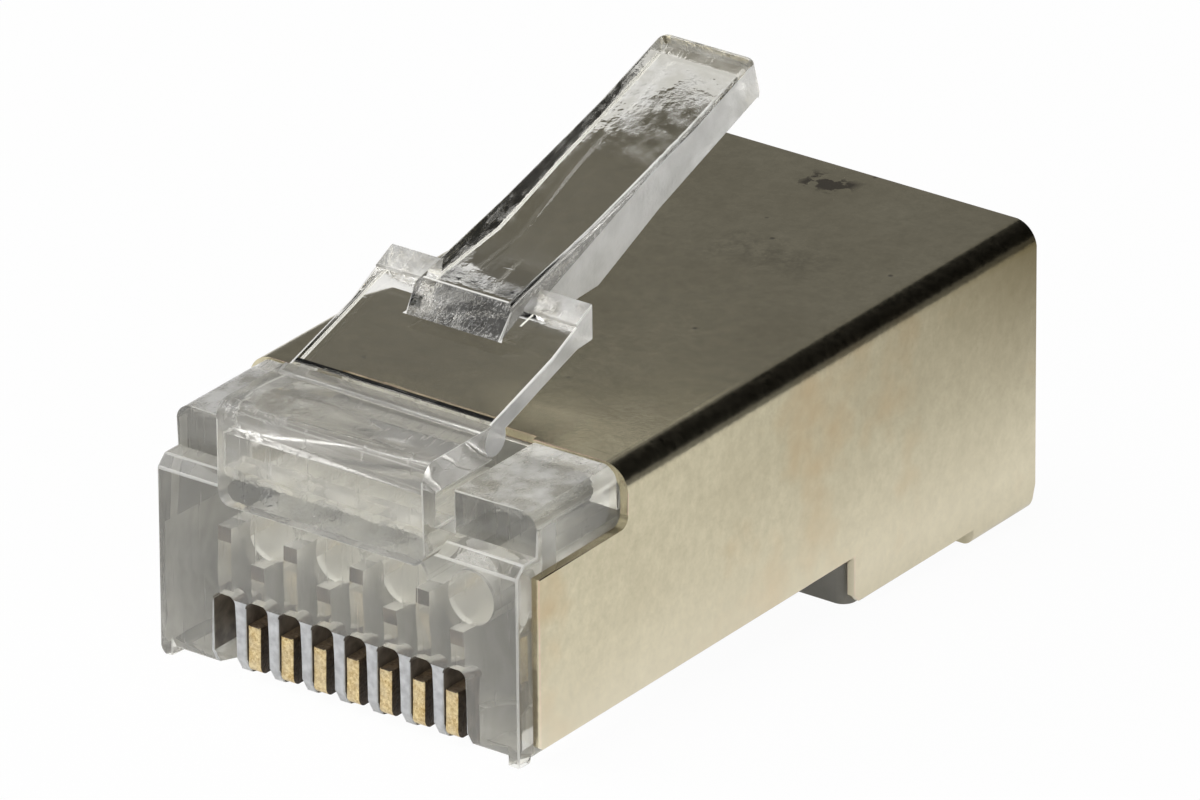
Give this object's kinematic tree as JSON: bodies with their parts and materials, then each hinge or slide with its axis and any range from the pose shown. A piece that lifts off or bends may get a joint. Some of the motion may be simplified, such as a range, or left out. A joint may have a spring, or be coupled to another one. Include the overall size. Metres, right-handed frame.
{
  "type": "shielded modular plug",
  "caption": "Shielded modular data plug: clear housing with slotted nose, hinged latch lever, folded metal shield and a row of piercing blade contacts.",
  "frame": {"origin": "centre of the mating face at the nose", "axes": "+Y from the mating face towards the cable inlet, +Z towards the latch, +X to the right seen from the front"},
  "size_m": [0.0116, 0.0223, 0.0137],
  "materials": {
    "clear_plastic": "clear polished moulding",
    "plated_sheet": "satin nickel plate",
    "gold_plate": "grainy gold plate"
  },
  "bodies": {
    "plug": {"housing": "clear_plastic", "shield": "plated_sheet", "contact_1": "gold_plate", "contact_2": "gold_plate", "contact_3": "gold_plate", "contact_4": "gold_plate", "contact_5": "gold_plate", "contact_6": "gold_plate", "contact_7": "gold_plate", "contact_8": "gold_plate"},
    "latch_lever": {"latch": "clear_plastic"}
  },
  "joints": [
    {"name": "latch_press", "type": "hinge", "parent": "plug", "child": "latch_lever", "pos_m": [0, 0.00242, 0.00404], "axis": [1, 0, 0], "range_deg": [-15, 0], "stiffness_Nm_per_rad": 0.01}
  ]
}
